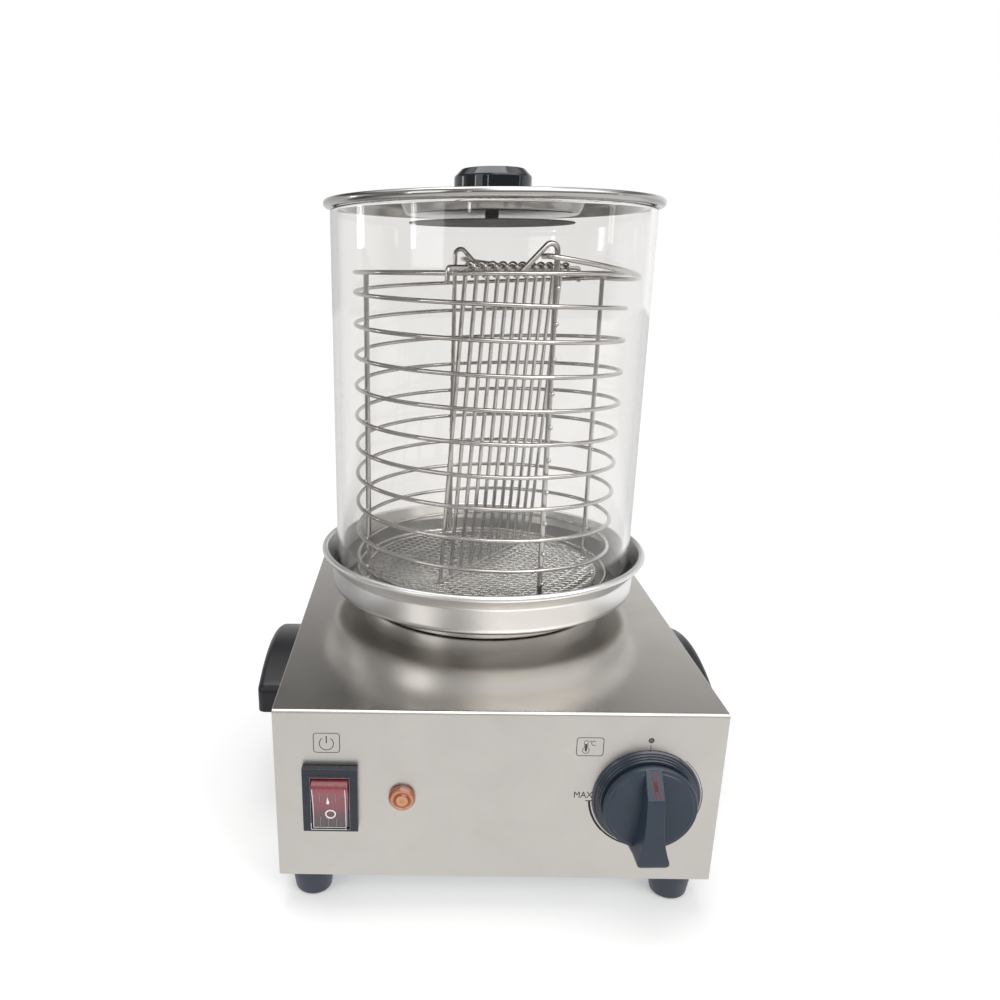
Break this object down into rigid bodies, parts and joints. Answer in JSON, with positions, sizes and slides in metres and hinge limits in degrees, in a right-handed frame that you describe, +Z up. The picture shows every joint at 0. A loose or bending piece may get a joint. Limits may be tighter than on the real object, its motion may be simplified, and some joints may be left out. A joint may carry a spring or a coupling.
{
  "type": "hot dog steamer",
  "caption": "Counter-top hot dog steamer: steel case with switch, lamp and dial, a water pan, a glass cylinder, a pressed lid and a wire basket with a bail and a divider.",
  "frame": {"origin": "on the counter, under the middle of the machine's bounding box", "axes": "+Z up, the front panel with the switch and the dial faces -Y, +X is to the right seen from the front"},
  "size_m": [0.2936, 0.3355, 0.4],
  "materials": {
    "housing_wrap": "satin",
    "left_side_panel": "satin",
    "right_side_panel": "satin",
    "base_plate": "zinc plated",
    "foot_1": "matte",
    "foot_2": "matte",
    "foot_3": "matte",
    "foot_4": "matte",
    "foot_screw_1": "zinc plated",
    "foot_screw_2": "zinc plated",
    "foot_screw_3": "zinc plated",
    "foot_screw_4": "zinc plated",
    "left_handle": "fine grain",
    "right_handle": "fine grain",
    "handle_screw_1": "zinc plated",
    "handle_screw_2": "zinc plated",
    "handle_screw_3": "zinc plated",
    "handle_screw_4": "zinc plated",
    "switch_housing": "fine grain",
    "lamp_lens": "translucent amber",
    "lamp_body": "moulded",
    "thermostat_body": "moulded",
    "dial_bezel": "fine grain",
    "cord_gland": "fine grain",
    "heat_plate": "machined",
    "heating_element": "zinc plated",
    "element_clamp": "zinc plated",
    "clamp_screw": "zinc plated",
    "thermal_cutout": "moulded",
    "sensor_capillary": "turned",
    "terminal_block": "moulded",
    "switch_rocker": "translucent red",
    "thermostat_shaft": "turned",
    "thermostat_knob": "fine grain",
    "knob_pointer": "red inlay",
    "water_pan": "satin",
    "glass_cylinder": "clear",
    "basket_top_ring": "bright drawn",
    "basket_spiral": "bright drawn",
    "basket_bottom_ring": "bright drawn",
    "basket_upright_near": "bright drawn",
    "basket_upright_right": "bright drawn",
    "basket_upright_far": "bright drawn",
    "basket_upright_left": "bright drawn",
    "basket_floor_cross": "bright drawn",
    "basket_net": "bright drawn",
    "bail": "bright drawn",
    "divider": "bright drawn",
    "lid": "polished",
    "lid_knob": "glossy",
    "lid_knob_screw": "polished"
  },
  "bodies": {
    "base": {"housing_wrap": "housing_wrap", "left_side_panel": "left_side_panel", "right_side_panel": "right_side_panel", "base_plate": "base_plate", "foot_1": "foot_1", "foot_2": "foot_2", "foot_3": "foot_3", "foot_4": "foot_4", "foot_screw_1": "foot_screw_1", "foot_screw_2": "foot_screw_2", "foot_screw_3": "foot_screw_3", "foot_screw_4": "foot_screw_4", "left_handle": "left_handle", "right_handle": "right_handle", "handle_screw_1": "handle_screw_1", "handle_screw_2": "handle_screw_2", "handle_screw_3": "handle_screw_3", "handle_screw_4": "handle_screw_4", "switch_housing": "switch_housing", "lamp_lens": "lamp_lens", "lamp_body": "lamp_body", "thermostat_body": "thermostat_body", "dial_bezel": "dial_bezel", "cord_gland": "cord_gland", "heat_plate": "heat_plate", "heating_element": "heating_element", "element_clamp": "element_clamp", "clamp_screw": "clamp_screw", "thermal_cutout": "thermal_cutout", "sensor_capillary": "sensor_capillary", "terminal_block": "terminal_block"},
    "rocker": {"switch_rocker": "switch_rocker"},
    "dial": {"thermostat_shaft": "thermostat_shaft", "thermostat_knob": "thermostat_knob", "knob_pointer": "knob_pointer"},
    "pan": {"water_pan": "water_pan"},
    "glass": {"glass_cylinder": "glass_cylinder"},
    "basket": {"basket_top_ring": "basket_top_ring", "basket_spiral": "basket_spiral", "basket_bottom_ring": "basket_bottom_ring", "basket_upright_near": "basket_upright_near", "basket_upright_right": "basket_upright_right", "basket_upright_far": "basket_upright_far", "basket_upright_left": "basket_upright_left", "basket_floor_cross": "basket_floor_cross", "basket_net": "basket_net"},
    "bail": {"bail": "bail"},
    "divider": {"divider": "divider"},
    "lid": {"lid": "lid", "lid_knob": "lid_knob", "lid_knob_screw": "lid_knob_screw"}
  },
  "joints": [
    {"name": "rocker_tilt", "type": "hinge", "parent": "base", "child": "rocker", "pos_m": [-0.0899, -0.14425, 0.0694], "axis": [-1, 0, 0], "range_deg": [0, 20]},
    {"name": "thermostat_turn", "type": "hinge", "parent": "base", "child": "dial", "pos_m": [0.0802, -0.14425, 0.0723], "axis": [0, 1, 0], "range_deg": [0, 270]},
    {"name": "pan_lift", "type": "slide", "parent": "base", "child": "pan", "axis": [0, 0, 1], "range_m": [0, 0.05]},
    {"name": "glass_lift", "type": "slide", "parent": "pan", "child": "glass", "axis": [0, 0, 1], "range_m": [0, 0.035]},
    {"name": "basket_lift", "type": "slide", "parent": "glass", "child": "basket", "axis": [0, 0, 1], "range_m": [0, 0.25]},
    {"name": "lid_lift", "type": "slide", "parent": "basket", "child": "lid", "axis": [0, 0, 1], "range_m": [0, 0.15]},
    {"name": "bail_swing", "type": "hinge", "parent": "basket", "child": "bail", "pos_m": [0.00552, 0.03159, 0.349], "axis": [0.2358, -0.9718, 0], "range_deg": [0, 98]},
    {"name": "divider_lift", "type": "slide", "parent": "basket", "child": "divider", "axis": [0, 0, 1], "range_m": [0, 0.02]}
  ],
  "couplings": [
    {"joint": "bail_swing", "follows": "lid_lift", "rad_per_m": 11.4}
  ]
}
